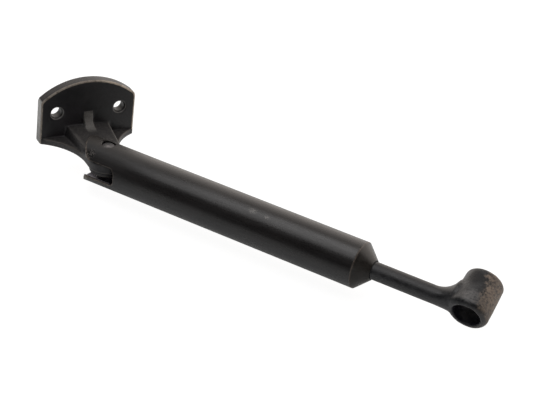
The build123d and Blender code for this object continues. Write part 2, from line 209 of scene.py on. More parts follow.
def make_floor():
    """A pale floor; the object sees bright paper behind and under it, and a dim room before it."""
    low = cad_box[0].z - FLOOR_GAP
    half = FLOOR_SIDE / 2
    corners = [(-half, -half, low), (half, -half, low), (half, half, low), (-half, half, low)]
    mesh = bpy.data.meshes.new("floor")
    mesh.from_pydata(corners, [], [(0, 1, 2, 3)])
    floor = bpy.data.objects.new("floor", mesh)
    bpy.context.collection.objects.link(floor)
    material = bpy.data.materials.new("floor")
    material.use_nodes = True
    tree = material.node_tree
    tree.nodes.clear()
    coords = tree.nodes.new("ShaderNodeTexCoord").outputs["Object"]
    before = reach(tree, coords, PAPER_WAY)
    along, _, _ = axes(tree, coords)
    extent = tree.nodes.new("ShaderNodeMath")
    extent.operation = "MULTIPLY"
    tree.links.new(smooth_ramp(tree, before, PAPER_FADE, (1.0, 0.0)), extent.inputs[0])
    tree.links.new(smooth_ramp(tree, along, PAPER_END, (1.0, 0.0)), extent.inputs[1])
    paper = glowing(tree, PAPER_SHARE, PAPER_GLOW)
    room = mix_shaders(tree, extent.outputs[0], diffuse(tree, ROOM_SHARE), paper)
    pale = glowing(tree, FLOOR_SHARE, FLOOR_GLOW)
    path = tree.nodes.new("ShaderNodeLightPath")
    seen = mix_shaders(tree, path.outputs["Is Camera Ray"], room, pale)
    out = tree.nodes.new("ShaderNodeOutputMaterial")
    tree.links.new(seen, out.inputs["Surface"])
    mesh.materials.append(material)


def make_softbox():
    data = bpy.data.lights.new("softbox", "AREA")
    data.shape = "SQUARE"
    data.size = SOFTBOX_SIDE
    data.color = SOFTBOX_LIGHT
    data.energy = SOFTBOX_LEVEL * math.pi * SOFTBOX_SIDE * SOFTBOX_SIDE
    light = bpy.data.objects.new("softbox", data)
    bpy.context.collection.objects.link(light)
    middle = (cad_box[0] + cad_box[1]) / 2
    turn = (-SOFTBOX_WAY).to_track_quat("-Z", "Y").to_matrix().to_4x4()
    light.matrix_world = Matrix.Translation(middle + SOFTBOX_WAY * SOFTBOX_DISTANCE) @ turn


# Materials

class Surface:
    """A material on one principled shader, with small helpers for its node graph."""

    def __init__(self, name, base, rough, metallic=0.0):
        self.material = bpy.data.materials.new(name)
        self.material.use_nodes = True
        self.tree = self.material.node_tree
        self.nodes = self.tree.nodes
        self.links = self.tree.links
        self.shader = self.nodes["Principled BSDF"]
        self.shader.inputs["Base Color"].default_value = (*base, 1)
        self.shader.inputs["Roughness"].default_value = rough
        self.shader.inputs["Metallic"].default_value = metallic

    def feed(self, socket, value):
        if isinstance(value, bpy.types.NodeSocket):
            self.links.new(value, socket)
        elif isinstance(value, tuple) and len(value) == 3 and socket.type == "RGBA":
            socket.default_value = (*value, 1)
        else:
            socket.default_value = value

    def place(self, home, stretch=(1, 1, 1)):
        """Object coordinates in millimetres, in the frame of home, each axis times its stretch."""
        coords = self.nodes.new("ShaderNodeTexCoord")
        mapping = self.nodes.new("ShaderNodeMapping")
        back = home.inverted()
        mapping.inputs["Location"].default_value = back.to_translation()
        mapping.inputs["Rotation"].default_value = back.to_euler()
        mapping.inputs["Scale"].default_value = (1 / MM, 1 / MM, 1 / MM)
        self.links.new(coords.outputs["Object"], mapping.inputs["Vector"])
        drawn = self.nodes.new("ShaderNodeVectorMath")
        drawn.operation = "MULTIPLY"
        drawn.inputs[1].default_value = stretch
        self.links.new(mapping.outputs["Vector"], drawn.inputs[0])
        return drawn.outputs["Vector"]

    def noise(self, where, scale, detail, rough):
        tex = self.nodes.new("ShaderNodeTexNoise")
        tex.inputs["Scale"].default_value = scale
        tex.inputs["Detail"].default_value = detail
        tex.inputs["Roughness"].default_value = rough
        self.links.new(where, tex.inputs["Vector"])
        return tex.outputs["Fac"]

    def span(self, value, low, high, start=0.0, end=1.0):
        """Maps low..high to start..end smoothly, held at both ends."""
        return smooth_ramp(self.tree, value, (low, high), (start, end))

    def math(self, kind, first, second=0.0):
        node = self.nodes.new("ShaderNodeMath")
        node.operation = kind
        self.feed(node.inputs[0], first)
        self.feed(node.inputs[1], second)
        return node.outputs["Value"]

    def chain(self, kind, values):
        result = values[0]
        for value in values[1:]:
            result = self.math(kind, result, value)
        return result

    def times(self, *values):
        return self.chain("MULTIPLY", values)

    def plus(self, *values):
        return self.chain("ADD", values)

    def most(self, *values):
        return self.chain("MAXIMUM", values)

    def less(self, value, other):
        return self.math("SUBTRACT", value, other)

    def beyond(self, mask, share=1.0):
        """One where the mask is nought, and less by the share where it is one."""
        return self.less(1.0, self.times(mask, share))

    def off(self, value, middle):
        """How far a value lies from a middle, to either side."""
        return self.math("ABSOLUTE", self.less(value, middle))

    def axes(self, where):
        return axes(self.tree, where)

    def distance(self, where, point):
        node = self.nodes.new("ShaderNodeVectorMath")
        node.operation = "DISTANCE"
        self.links.new(where, node.inputs[0])
        node.inputs[1].default_value = point
        return node.outputs["Value"]

    def from_line(self, home, letter, point=(0, 0, 0)):
        """The distance from a line along one axis of home, through a point with nought on that axis."""
        flatten = tuple(0 if name == letter else 1 for name in "XYZ")
        return self.distance(self.place(home, flatten), point)

    def attribute(self, name):
        node = self.nodes.new("ShaderNodeAttribute")
        node.attribute_name = name
        return node.outputs["Fac"]

    def mix(self, share, first, second):
        node = self.nodes.new("ShaderNodeMix")
        node.data_type = "RGBA"
        self.feed(node.inputs["Factor"], share)
        self.feed(node.inputs["A"], first)
        self.feed(node.inputs["B"], second)
        return node.outputs["Result"]

    def lay(self, under, mask, color, share=1.0):
        """A colour laid over what is under it, where the mask is, as far as the share."""
        return self.mix(self.times(mask, share), under, color)

    def bump(self, height, depth, strength, under=None):
        """depth is the height's full range in millimetres."""
        node = self.nodes.new("ShaderNodeBump")
        node.inputs["Strength"].default_value = strength
        node.inputs["Distance"].default_value = depth * MM
        self.links.new(height, node.inputs["Height"])
        if under is not None:
            self.links.new(under, node.inputs["Normal"])
        return node.outputs["Normal"]

    def gloss(self, value):
        self.feed(self.shader.inputs["Specular IOR Level"], value)

    def color(self, value):
        self.feed(self.shader.inputs["Base Color"], value)

    def rough(self, value):
        self.feed(self.shader.inputs["Roughness"], value)

    def normal(self, value):
        self.feed(self.shader.inputs["Normal"], value)


# The range that most of a noise lies in, and the specular level of a plain unworn surface

NOISE_RANGE = (0.3, 0.7)
FULL_GLOSS = 0.5

# The casting's colours

CAST_COLOR = (0.012, 0.0115, 0.0120)
PLATE_COLORS = ((0.0035, 0.0032, 0.0044), (0.0085, 0.0078, 0.0092))
PORE_COLOR = (0.018, 0.0165, 0.0170)
ARM_COLORS = ((0.019, 0.018, 0.0185), (0.042, 0.040, 0.039))
FLANK_SHADE_COLOR = (0.0080, 0.0075, 0.0090)
BROW_HIGHLIGHT_COLOR = (0.075, 0.071, 0.068)
RIB_LIGHT_COLOR = (0.130, 0.126, 0.120)
POOL_LIGHT_COLOR = (0.026, 0.024, 0.027)
KNUCKLE_SHADE_COLOR = (0.0105, 0.0098, 0.0125)
MOUTH_COLOR = (0.120, 0.116, 0.112)
HOLE_SHADE_COLOR = (0.0035, 0.0035, 0.0040)
FOOT_COLOR = (0.085, 0.074, 0.062)
RIDGE_HIGHLIGHT_COLOR = (0.165, 0.157, 0.146)
SIDE_LIGHT_COLORS = ((0.16, 0.16, 0.155), (0.42, 0.425, 0.415))
RIM_WEAR_AND_HIGHLIGHT_COLORS = ((0.300, 0.262, 0.220), (0.560, 0.476, 0.386))

# Levels of noise and of edge where the casting's marks start and end, some with shares

PLATE_BLOTCHES = (0.35, 0.68)
PLATE_PORES = (0.58, 0.78)
ARM_PORES = (0.36, 0.64)
RIB_PORES = (0.30, 0.60, 0.6, 1.0)
WORN_SHARE = (0.30, 0.62, 0.35, 1.0)
SIDE_SHARE = (0.25, 0.60, 0.6, 1.0)
RIM_EDGE = (0.12, 0.60)
FOOT_EDGE = (0.10, 0.60)

# Places and edges of the casting's marks, in millimetres in the part's frame, some with shares

ARM_DEPTH = (PLATE_FACE + 0.3, PLATE_FACE + 1.6)
FORE_DEPTH = (PLATE_FACE - 1.4, PLATE_FACE - 0.9)
FRONT_DEPTH = (PLATE_FACE - 1.1, PLATE_FACE - 0.3)
FRONT_END = (PLATE_FACE + 0.3, PLATE_FACE + 0.1)
BLOCK_FOOT = (-12.1, -11.5)
BLOCK_TOP = (-6.3, -6.9)
FLANK_DEPTH = (5.6, 6.4)
FLANK_SIDE = (10.4, 11.6)
BROW_SIDE = 10.4
BROW_WIDTH = (1.3, 0.3)
BROW_DEPTH = (8.0, 17.0)
BROW_START = (-8.2, -7.2)
RIB_WIDTH = (2.5, 2.0)
RIB_TOP = (-0.2, -0.9)
RIB_FOOT = (-7.2, -6.6)
RIB_DEPTH = (14.0, 9.5)
HOLE_WALL = (2.95, 2.75)
HOLE_MOUTH = (3.5, 3.3)
HOLE_ROOM = (4.2, 5.2)
POOL_MIDDLE = -9.0
POOL_WIDTH = (9.0, 4.0)
POOL_TOP = (5.0, -1.0)
POOL_DEPTH = (PLATE_FACE + 0.8, PLATE_FACE + 0.2)
KNUCKLE_RADIUS = (10.4, 9.6)
KNUCKLE_TOP = (-10.2, -10.7)
FOOT_TOP = (-11.6, -12.6)
RIDGE_START = (-8.0, -7.2)
RIDGE_SIDE = (6.0, 7.5)
SIDE_FACE = (-22.6, -23.1)
SIDE_HEIGHT = (-14.0, 4.0)
RIM_RIGHT = (-2.0, 19.0)
SHEEN_ACROSS = (-16.0, 16.0, 0.33, 0.42)
SHEEN_LOW = (3.0, -9.0, 0.0, 0.11)
SHEEN_LEFT = (10.0, -2.0)

# Slopes of the block's top and flank, and the casting's shares, losses and roughness

BLOCK_SLOPE = 0.122
FLANK_SLOPE = 0.109
KNUCKLE_SHARE = 0.85
KNUCKLE_EDGE_LOSS = 0.6
FLANK_GLOSS_LOSS = 0.15
CAST_ROUGH = (0.34, 0.46)
CAST_WORN_ROUGH = 0.12


def casting_places(s):
    """Where a point of the casting lies, and the noises that break up its marks."""
    at = SimpleNamespace()
    where = s.place(PART)
    at.depth, at.across, at.high = s.axes(where)
    at.raised = s.plus(at.high, s.times(at.depth, BLOCK_SLOPE))
    at.outward = s.less(s.times(at.depth, FLANK_SLOPE), at.across)
    at.from_hole = s.math("MINIMUM", *(s.from_line(PART, "X", spot) for spot in SCREW_SPOTS))
    at.from_pin = s.from_line(PART, "Z", (PIVOT.x, PIVOT.y, 0))
    at.edge = s.attribute("edge")
    at.blotch = s.noise(where, scale=0.16, detail=4, rough=0.6)
    at.pores = s.noise(where, scale=1.1, detail=5, rough=0.65)
    at.fine = s.noise(where, scale=3.6, detail=3, rough=0.6)
    at.worn = s.span(s.noise(where, scale=0.5, detail=5, rough=0.7), *WORN_SHARE)
    at.chipped = s.span(s.noise(where, scale=0.7, detail=5, rough=0.7), *SIDE_SHARE)
    at.arm = s.span(at.depth, *ARM_DEPTH)
    at.fore = s.span(at.depth, *FORE_DEPTH)
    return at


def block_marks(s, at):
    """Painted shade on the block's left flank, a painted highlight as a pale brow along its edge, and a
    painted highlight on the edge of the ridge on its right.
    """
    block = s.times(s.span(at.high, *BLOCK_FOOT), s.span(at.raised, *BLOCK_TOP))
    flank = s.times(block, s.span(at.depth, *FLANK_DEPTH), s.span(at.outward, *FLANK_SIDE))
    brow = s.times(s.span(s.off(at.outward, BROW_SIDE), *BROW_WIDTH), s.span(at.depth, *BROW_DEPTH))
    brow = s.times(brow, s.span(at.raised, *BROW_START))
    ridge = s.times(s.span(at.raised, *RIDGE_START), s.span(at.across, *RIDGE_SIDE), at.arm, at.edge)
    return flank, brow, ridge


def rib_mark(s, at):
    """Painted light: the paler centre rib between the plate and the block."""
    rib = s.times(s.span(s.off(at.across, 0.0), *RIB_WIDTH), s.span(at.high, *RIB_TOP))
    rib = s.times(rib, s.span(at.raised, *RIB_FOOT), s.span(at.depth, *RIB_DEPTH))
    return s.times(rib, at.fore, s.span(at.pores, *RIB_PORES))


def pool_mark(s, at):
    """Painted light: the low greyer field on the plate, on the left of the rib."""
    pool = s.times(s.span(s.off(at.across, POOL_MIDDLE), *POOL_WIDTH), s.span(at.high, *POOL_TOP))
    return s.times(pool, at.fore, s.span(at.depth, *POOL_DEPTH))


def knuckle_mark(s, at):
    """Painted shade at the end of the arm, within a radius of the pin's line."""
    knuckle = s.times(s.span(at.from_pin, *KNUCKLE_RADIUS), s.span(at.high, *KNUCKLE_TOP))
    return s.times(knuckle, s.less(KNUCKLE_SHARE, s.times(at.edge, KNUCKLE_EDGE_LOSS)))


def hole_marks(s, at):
    """The pale mouths of the screw holes, and painted shade on their walls."""
    wall = s.span(at.from_hole, *HOLE_WALL)
    mouth = s.times(s.less(s.span(at.from_hole, *HOLE_MOUTH), wall), at.fore)
    return mouth, wall


def worn_marks(s, at):
    """Where the paint is worn off at the plate's rim and the arm's foot, and painted light on the plate's
    left side.
    """
    front = s.times(s.span(at.depth, *FRONT_DEPTH), s.span(at.depth, *FRONT_END))
    rim = s.times(front, s.span(at.from_hole, *HOLE_ROOM), s.span(at.edge, *RIM_EDGE), at.worn)
    foot = s.times(s.span(at.high, *FOOT_TOP), at.arm, s.span(at.edge, *FOOT_EDGE), at.worn)
    side = s.times(s.span(at.across, *SIDE_FACE), at.chipped)
    return rim, foot, side


def black_casting():
    """Rough black paint, worn pale at the plate's rim, greyer on the arm; painted light on the plate's side,
    rim, block, rib and a field left of the rib; painted shade on the block's flank, the knuckle and the hole
    walls.
    """
    s = Surface("black_casting", CAST_COLOR, rough=0.40)
    at = casting_places(s)
    flank, brow, ridge = block_marks(s, at)
    mouth, wall = hole_marks(s, at)
    rim, foot, side = worn_marks(s, at)

    body = s.mix(s.span(at.blotch, *PLATE_BLOTCHES), *PLATE_COLORS)
    body = s.lay(body, s.span(at.pores, *PLATE_PORES), PORE_COLOR)
    body = s.lay(body, at.arm, s.mix(s.span(at.pores, *ARM_PORES), *ARM_COLORS))
    # Painted shade on the block's left flank
    body = s.lay(body, flank, FLANK_SHADE_COLOR, share=0.6)
    # Painted highlight: the pale brow along the block's edge
    body = s.lay(body, brow, BROW_HIGHLIGHT_COLOR, share=0.7)
    # Painted light on the centre rib
    body = s.lay(body, rib_mark(s, at), RIB_LIGHT_COLOR)
    # Painted light on the low field left of the rib
    body = s.lay(body, pool_mark(s, at), POOL_LIGHT_COLOR, share=0.7)
    # Painted shade on the arm's end inside the tube's slot
    body = s.lay(body, knuckle_mark(s, at), KNUCKLE_SHADE_COLOR)
    body = s.lay(body, mouth, MOUTH_COLOR)
    # Painted shade on the screw holes' walls
    body = s.lay(body, wall, HOLE_SHADE_COLOR)
    body = s.lay(body, foot, FOOT_COLOR, share=0.6)
    # Painted highlight on the edge of the block's right ridge
    body = s.lay(body, ridge, RIDGE_HIGHLIGHT_COLOR, share=0.7)
    # Painted light on the plate's left side, lighter towards the top
    body = s.lay(body, side, s.mix(s.span(at.high, *SIDE_HEIGHT), *SIDE_LIGHT_COLORS))
    # Worn pale rim, with a painted highlight on it that grows brighter towards the right
    s.color(s.lay(body, rim, s.mix(s.span(at.across, *RIM_RIGHT), *RIM_WEAR_AND_HIGHLIGHT_COLORS)))

    sheen = s.times(s.span(at.high, *SHEEN_LOW), s.span(at.across, *SHEEN_LEFT))
    sheen = s.plus(s.span(at.across, *SHEEN_ACROSS), sheen)
    bare = s.less(s.most(rim, at.arm, mouth, side), flank)
    s.gloss(s.most(s.less(sheen, s.times(flank, FLANK_GLOSS_LOSS)), s.times(bare, FULL_GLOSS)))
    rougher = s.times(s.most(rim, at.arm), CAST_WORN_ROUGH)
    s.rough(s.plus(s.span(at.blotch, *NOISE_RANGE, *CAST_ROUGH), rougher))
    grain = s.bump(at.pores, depth=0.14, strength=0.6)
    s.normal(s.bump(at.fine, depth=0.03, strength=0.6, under=grain))
    return s.material


# The tube's colours

TUBE_COLOR = (0.009, 0.0087, 0.0085)
TUBE_COLORS = ((0.0088, 0.0080, 0.0086), (0.0150, 0.0136, 0.0138))
STREAK_COLOR = (0.022, 0.0205, 0.0195)
EARS_COLOR = (0.155, 0.128, 0.106)
TUBE_END_COLOR = (0.110, 0.094, 0.078)
CREST_LIGHT_COLOR = (0.019, 0.0168, 0.0148)
BORE_LIGHT_COLOR = (0.30, 0.285, 0.33)
BARE_COLOR = (0.165, 0.156, 0.146)
PIT_AND_SHADE_COLOR = (0.002, 0.002, 0.002)

# Stretches of the tube's noises, and levels of noise and of edge for its marks, some with shares

DRAWN_STRETCH = (0.05, 1, 1)
BLOTCH_STRETCH = (0.35, 1, 1)
TUBE_BLOTCHES = (0.35, 0.68)
TUBE_STREAKS = (0.60, 0.80)
BROKEN_SHARE = (0.32, 0.62, 0.25, 1.0)
CREST_FLECKS = (0.35, 0.60, 0.3, 1.0)
BARE_FLECKS = (0.53, 0.60)
PIT_FLECKS = (0.50, 0.43)
NICK_FLECKS = (0.45, 0.56)
EARS_EDGE = (0.06, 0.35)

# Places and edges of the tube's marks, in millimetres in the barrel's frame, some with shares

EARS_LENGTH = (12.5, 11.0)
EARS_PIN_ROOM = (4.0, 5.0)
EARS_TIP = (TUBE_RADIUS - 0.75, TUBE_RADIUS - 0.4)
EARS_TIP_LENGTH = (-2.0, -4.0)
TUBE_END = (TUBE_LENGTH - 0.40, TUBE_LENGTH - 0.1)
BORE_EDGE = (BORE_RADIUS + 0.6, BORE_RADIUS + 0.2)
CREST_HEIGHT = (9.2, 10.2)
CREST_LENGTH = (6.0, -4.0)
SCUFF = (-4.3, -7.8, 7.0)
SCUFF_RADIUS = (3.0, 1.3)
PIN_GAP = (PIN_RADIUS + 0.75, PIN_RADIUS + 0.35)
PIN_SHADE_CENTRE = (-1.1, 2.2, 0)
PIN_SHADE_RADIUS = (3.4, 2.6)
SHOULDER_LINE = (0, -7.8, 7.0)
SHOULDER_WIDTH = (3.4, 0.8)
SHOULDER_DIM = (34.0, 14.0, 0.0, 0.38)
BELT_SIDE = (-8.0, -9.6)
BELT_HEIGHT = 2.2
BELT_DIM = (3.6, 1.6, 0.0, 0.20)
POLISH_LINE = (0, -5.25, 9.1)
POLISH_WIDTH = (2.6, 0.6)
POLISH_GAIN = (30.0, 62.0, 0.0, 0.30)
DULL_LENGTH = (26.0, 6.0)

# The two nicks, placed and measured in coordinates that are drawn by the stretch

NICK_STRETCH = (0.7, 1, 1)
LONG_NICK = (56.2, -5.5, 8.95)
SHORT_NICK = (61.4, -5.8, 8.75)
SHORT_NICK_SCALE = 1.5
NICK_RADIUS = (1.9, 0.5)

# The tube's loss of gloss where it is pitted and where shade is painted round the pin, and its roughness

PIT_GLOSS_LOSS = 0.84
STREAK_ROUGH = (0.26, 0.35)
FLECK_ROUGH = (0.36, 0.64, -0.02, 0.05)
TUBE_DULL_ROUGH = 0.15


def pin_far_side_shade(s):
    """Where painted shade lies round the pin's end: on its far side, towards the bracket."""
    return s.span(s.from_line(BARREL, "Z", PIN_SHADE_CENTRE), *PIN_SHADE_RADIUS)


def tube_places(s):
    """Where a point of the tube lies, and the noises that break up its marks."""
    at = SimpleNamespace()
    where = s.place(BARREL)
    at.along, at.aside, at.high = s.axes(where)
    at.from_pin = s.from_line(BARREL, "Z")
    at.from_scuff = s.distance(where, SCUFF)
    at.edge = s.attribute("edge")
    at.blotch = s.noise(s.place(BARREL, BLOTCH_STRETCH), scale=0.14, detail=4, rough=0.6)
    at.streak = s.noise(s.place(BARREL, DRAWN_STRETCH), scale=1.3, detail=4, rough=0.6)
    at.fine = s.noise(where, scale=2.6, detail=4, rough=0.6)
    at.flecks = s.noise(where, scale=1.7, detail=5, rough=0.7)
    at.broken = s.span(s.noise(where, scale=0.8, detail=5, rough=0.7), *BROKEN_SHARE)
    return at


def ears_mark(s, at):
    """Worn edges of the slot and of the ears' round tips."""
    slot = s.times(s.span(at.edge, *EARS_EDGE), s.span(at.along, *EARS_LENGTH))
    slot = s.times(slot, s.span(at.from_pin, *EARS_PIN_ROOM))
    tip = s.times(s.span(at.from_pin, *EARS_TIP), s.span(at.along, *EARS_TIP_LENGTH))
    return s.times(s.most(slot, tip), at.broken)


def scuff_marks(s, at):
    """Bare flecks and dark pitting: the scuff on the ear and the two nicks; and painted shade in the gap
    round the pin, on its far side.
    """
    scuff = s.span(at.from_scuff, *SCUFF_RADIUS)
    drawn = s.place(BARREL, NICK_STRETCH)
    short_nick = s.times(s.distance(drawn, SHORT_NICK), SHORT_NICK_SCALE)
    nicks = s.span(s.math("MINIMUM", s.distance(drawn, LONG_NICK), short_nick), *NICK_RADIUS)
    scuffed = s.times(scuff, s.span(at.flecks, *BARE_FLECKS))
    nicked = s.times(nicks, s.span(at.flecks, *NICK_FLECKS))
    pitted = s.times(scuff, s.span(at.flecks, *PIT_FLECKS))
    gap_shade = s.times(s.span(at.from_pin, *PIN_GAP), pin_far_side_shade(s))
    return s.most(scuffed, nicked), s.most(pitted, gap_shade)


def tube_gloss(s, at, pits_and_gap_shade):
    """Duller where pitted and where shade is painted round the pin, by the ears and along the tube's side;
    brighter along a line near the nose.
    """
    shoulder = s.span(s.from_line(BARREL, "X", SHOULDER_LINE), *SHOULDER_WIDTH)
    shoulder = s.times(shoulder, s.span(at.along, *SHOULDER_DIM))
    belt = s.times(s.span(at.aside, *BELT_SIDE), s.span(s.off(at.high, BELT_HEIGHT), *BELT_DIM))
    dim = s.most(s.times(pits_and_gap_shade, PIT_GLOSS_LOSS), shoulder, belt)
    polish = s.span(s.from_line(BARREL, "X", POLISH_LINE), *POLISH_WIDTH)
    polish = s.times(polish, s.span(at.along, *POLISH_GAIN))
    return s.times(FULL_GLOSS, s.less(s.plus(1.0, polish), dim))


def black_tube():
    """Satin black on a drawn tube: worn lines round the ears, one scuff and two nicks; painted light on the
    ears' top and on the bore's inner face, and painted shade round the pin.
    """
    s = Surface("black_tube", TUBE_COLOR, rough=0.30)
    at = tube_places(s)
    ears = ears_mark(s, at)
    end = s.times(s.span(at.along, *TUBE_END), at.broken)
    crest = s.times(s.span(at.high, *CREST_HEIGHT), s.span(at.along, *CREST_LENGTH))
    bore = s.span(s.from_line(BARREL, "X"), *BORE_EDGE)
    bare, pits_and_gap_shade = scuff_marks(s, at)

    body = s.mix(s.span(at.blotch, *TUBE_BLOTCHES), *TUBE_COLORS)
    body = s.lay(body, s.span(at.streak, *TUBE_STREAKS), STREAK_COLOR)
    body = s.lay(body, ears, EARS_COLOR, share=0.9)
    body = s.lay(body, end, TUBE_END_COLOR, share=0.7)
    # Painted light along the top of the ears, broken by flecks
    body = s.lay(body, s.times(crest, s.span(at.flecks, *CREST_FLECKS)), CREST_LIGHT_COLOR)
    # Painted light on the bore's inner face, seen through the slot
    body = s.lay(body, bore, BORE_LIGHT_COLOR)
    body = s.lay(body, bare, BARE_COLOR)
    # Dark pitting, and painted shade in the gap round the pin
    s.color(s.lay(body, pits_and_gap_shade, PIT_AND_SHADE_COLOR))

    s.gloss(tube_gloss(s, at, pits_and_gap_shade))
    sleek = s.plus(s.span(at.streak, *NOISE_RANGE, *STREAK_ROUGH), s.span(at.flecks, *FLECK_ROUGH))
    s.rough(s.plus(sleek, s.times(s.most(ears, end, s.span(at.along, *DULL_LENGTH)), TUBE_DULL_ROUGH)))
    lines = s.bump(at.streak, depth=0.007, strength=0.5)
    grain = s.bump(at.fine, depth=0.030, strength=0.6, under=lines)
    s.normal(s.bump(s.times(pits_and_gap_shade, at.flecks), depth=0.25, strength=0.9, under=grain))
    return s.material


# The nose's colours

NOSE_COLOR = (0.014, 0.012, 0.0105)
NOSE_COLORS = ((0.0122, 0.0105, 0.0092), (0.0200, 0.0172, 0.0145))
NOSE_RIM_COLOR = (0.120, 0.094, 0.078)

# The stretch of the nose's turned marks, and levels of noise for its marks

TURNED_STRETCH = (1, 0.06, 0.06)
NOSE_BLOTCHES = (0.35, 0.68)
NOSE_BROKEN = (0.30, 0.56)

# Edges of the nose's marks, in millimetres in the barrel's frame, some with shares

NOSE_RIM = (TUBE_LENGTH + 0.45, TUBE_LENGTH + 0.12)
NOSE_RIM_SHARE = (0.0, 7.0, 0.5, 0.9)
NOSE_GLOSS = (4.6, 1.6, 0.52, 0.24)
NOSE_BACK_GLOSS = (0.0, 4.0, 0.0, 0.18)

# The nose's roughness

NOSE_ROUGH = (0.26, 0.38)
NOSE_RIM_ROUGH = 0.12


def black_nose():
    """Satin black on a turned cone, with a worn line round its base."""
    s = Surface("black_nose", NOSE_COLOR, rough=0.32)
    where = s.place(BARREL)
    along, aside, high = s.axes(where)
    blotch = s.noise(where, scale=0.22, detail=4, rough=0.6)
    turned = s.noise(s.place(BARREL, TURNED_STRETCH), scale=2.4, detail=3, rough=0.6)
    fine = s.noise(where, scale=2.8, detail=4, rough=0.6)
    broken = s.span(s.noise(where, scale=0.9, detail=5, rough=0.7), *NOSE_BROKEN)
    rim = s.times(s.span(along, *NOSE_RIM), broken, s.span(high, *NOSE_RIM_SHARE))
    s.color(s.lay(s.mix(s.span(blotch, *NOSE_BLOTCHES), *NOSE_COLORS), rim, NOSE_RIM_COLOR))
    s.gloss(s.plus(s.span(high, *NOSE_GLOSS), s.span(aside, *NOSE_BACK_GLOSS)))
    s.rough(s.plus(s.span(blotch, *NOISE_RANGE, *NOSE_ROUGH), s.times(rim, NOSE_RIM_ROUGH)))
    rings = s.bump(turned, depth=0.012, strength=0.5)
    s.normal(s.bump(fine, depth=0.02, strength=0.5, under=rings))
    return s.material


# The colours of the rod and its eye

FORGING_COLOR = (0.012, 0.0125, 0.0135)
ROD_COLORS = ((0.0065, 0.0070, 0.0085), (0.0190, 0.0196, 0.0220))
ROD_PORE_COLOR = (0.034, 0.036, 0.040)
EYE_PORE_COLOR = (0.040, 0.041, 0.043)
EYE_HIGHLIGHT_COLOR = (0.105, 0.103, 0.104)
EYE_SHADE_COLOR = (0.004, 0.0045, 0.006)
EYE_FACE_COLORS = ((0.0040, 0.0048, 0.0070), (0.0220, 0.0225, 0.0250))
DUST_COLORS = ((0.162, 0.129, 0.101), (0.258, 0.202, 0.157))
HOLLOW_SHADE_COLOR = (0.008, 0.008, 0.013)

# Levels of noise where the forging's marks start and end, some with shares

ROD_BLOTCHES = (0.38, 0.62)
ROD_PORES = (0.54, 0.68)
EYE_PORES = (0.46, 0.66)
HIGHLIGHT_PORES = (0.38, 0.56, 0.3, 1.0)
BAND_PORES = (0.35, 0.60, 0.72, 0.40)
DUST_PORES = (0.36, 0.60, 0.20, 1.0)
DUST_BLOTCHES = (0.56, 0.42, 0.0, 0.40)
FACE_BLOTCHES = (0.42, 0.62)

# Places and edges of the forging's marks, in millimetres in the rod's frame, some with shares

FORGED_LENGTH = (NECK_START + 4, NECK_START + 11)
EYE_HIGHLIGHT = (183.6, -0.2, 9.0)
EYE_HIGHLIGHT_RADIUS = (5.4, 2.6)
EYE_SHADE = (180.7, 10.4, 8.7)
EYE_SHADE_RADIUS = (5.6, 2.0)
BAND_DEPTH = -2.9
BAND_WIDTH = (1.5, 0.3)
BAND_HEIGHT = (5.6, 7.6)
FACE_DEPTH = (-2.4, -3.4)
HOLLOW_RADIUS = (6.9, 6.4)
DUST_WANDER = (-1.5, 1.5)
DUST_FRAY = (-0.9, 0.9)
DUST_EDGE = (-0.6, 1.8)
DUST_LEAN = (6.0, 14.0, 0.0, 2.6)
DUST_BACK = (5.0, 10.0)
DUST_LENGTH = (EYE_AT - 1.0, EYE_AT + 2.5)
DUST_DEPTH = (-2.0, 8.0)

# The slope of the dust's line, and the forging's shares, losses and roughness

DUST_LINE = math.radians(63)
EYE_SHADE_SHARE = 0.92
FACE_DUST_LOSS = 0.85
FACE_GLOSS_LOSS = 0.12
DARK_GLOSS_LOSS = 0.25
FORGING_ROUGH = (0.28, 0.44)
ROD_ROUGH = (NECK_START - 1, NECK_START + 6, 0.10, 0.0)
DUST_ROUGH = 0.34


def forging_places(s):
    """Where a point of the rod or its eye lies, and the noises that break up its marks."""
    at = SimpleNamespace()
    where = s.place(ROD)
    at.along, at.depth, at.high = s.axes(where)
    at.from_patch = s.distance(where, EYE_HIGHLIGHT)
    at.from_shade = s.distance(where, EYE_SHADE)
    at.blotch = s.noise(where, scale=0.30, detail=5, rough=0.66)
    at.pores = s.noise(where, scale=0.9, detail=6, rough=0.70)
    at.fine = s.noise(where, scale=3.2, detail=4, rough=0.6)
    at.patches = s.noise(where, scale=0.22, detail=3, rough=0.5)
    at.forged = s.span(at.along, *FORGED_LENGTH)
    at.face = s.times(s.span(at.depth, *FACE_DEPTH), at.forged)
    at.hollow = s.span(s.from_line(ROD, "Y", (EYE_AT, 0, 0)), *HOLLOW_RADIUS)
    return at


def dark_mark(s, at):
    """Painted shade: the dark corner at the eye's far top, and the dark band along its front edge."""
    shade = s.times(s.span(at.from_shade, *EYE_SHADE_RADIUS), EYE_SHADE_SHARE)
    band = s.times(s.span(s.off(at.depth, BAND_DEPTH), *BAND_WIDTH), s.span(at.high, *BAND_HEIGHT))
    return s.most(shade, s.times(band, at.forged, s.span(at.pores, *BAND_PORES)))


def dust_mark(s, at):
    """Brown dust on the eye, on the far side of a ragged line across its middle."""
    outer = s.times(s.less(at.along, EYE_AT), math.sin(DUST_LINE))
    outer = s.less(outer, s.times(at.high, math.cos(DUST_LINE)))
    wander = s.span(at.blotch, *NOISE_RANGE, *DUST_WANDER)
    fray = s.span(at.pores, *NOISE_RANGE, *DUST_FRAY)
    outer = s.plus(outer, wander, fray, s.span(at.depth, *DUST_LEAN))
    dust = s.times(s.span(outer, *DUST_EDGE), s.span(at.pores, *DUST_PORES))
    dust = s.times(dust, s.span(at.along, *DUST_LENGTH))
    thin = s.times(s.span(at.depth, *DUST_BACK), s.span(at.blotch, *DUST_BLOTCHES))
    return s.times(dust, s.beyond(thin), s.beyond(at.face, FACE_DUST_LOSS), s.beyond(at.hollow))


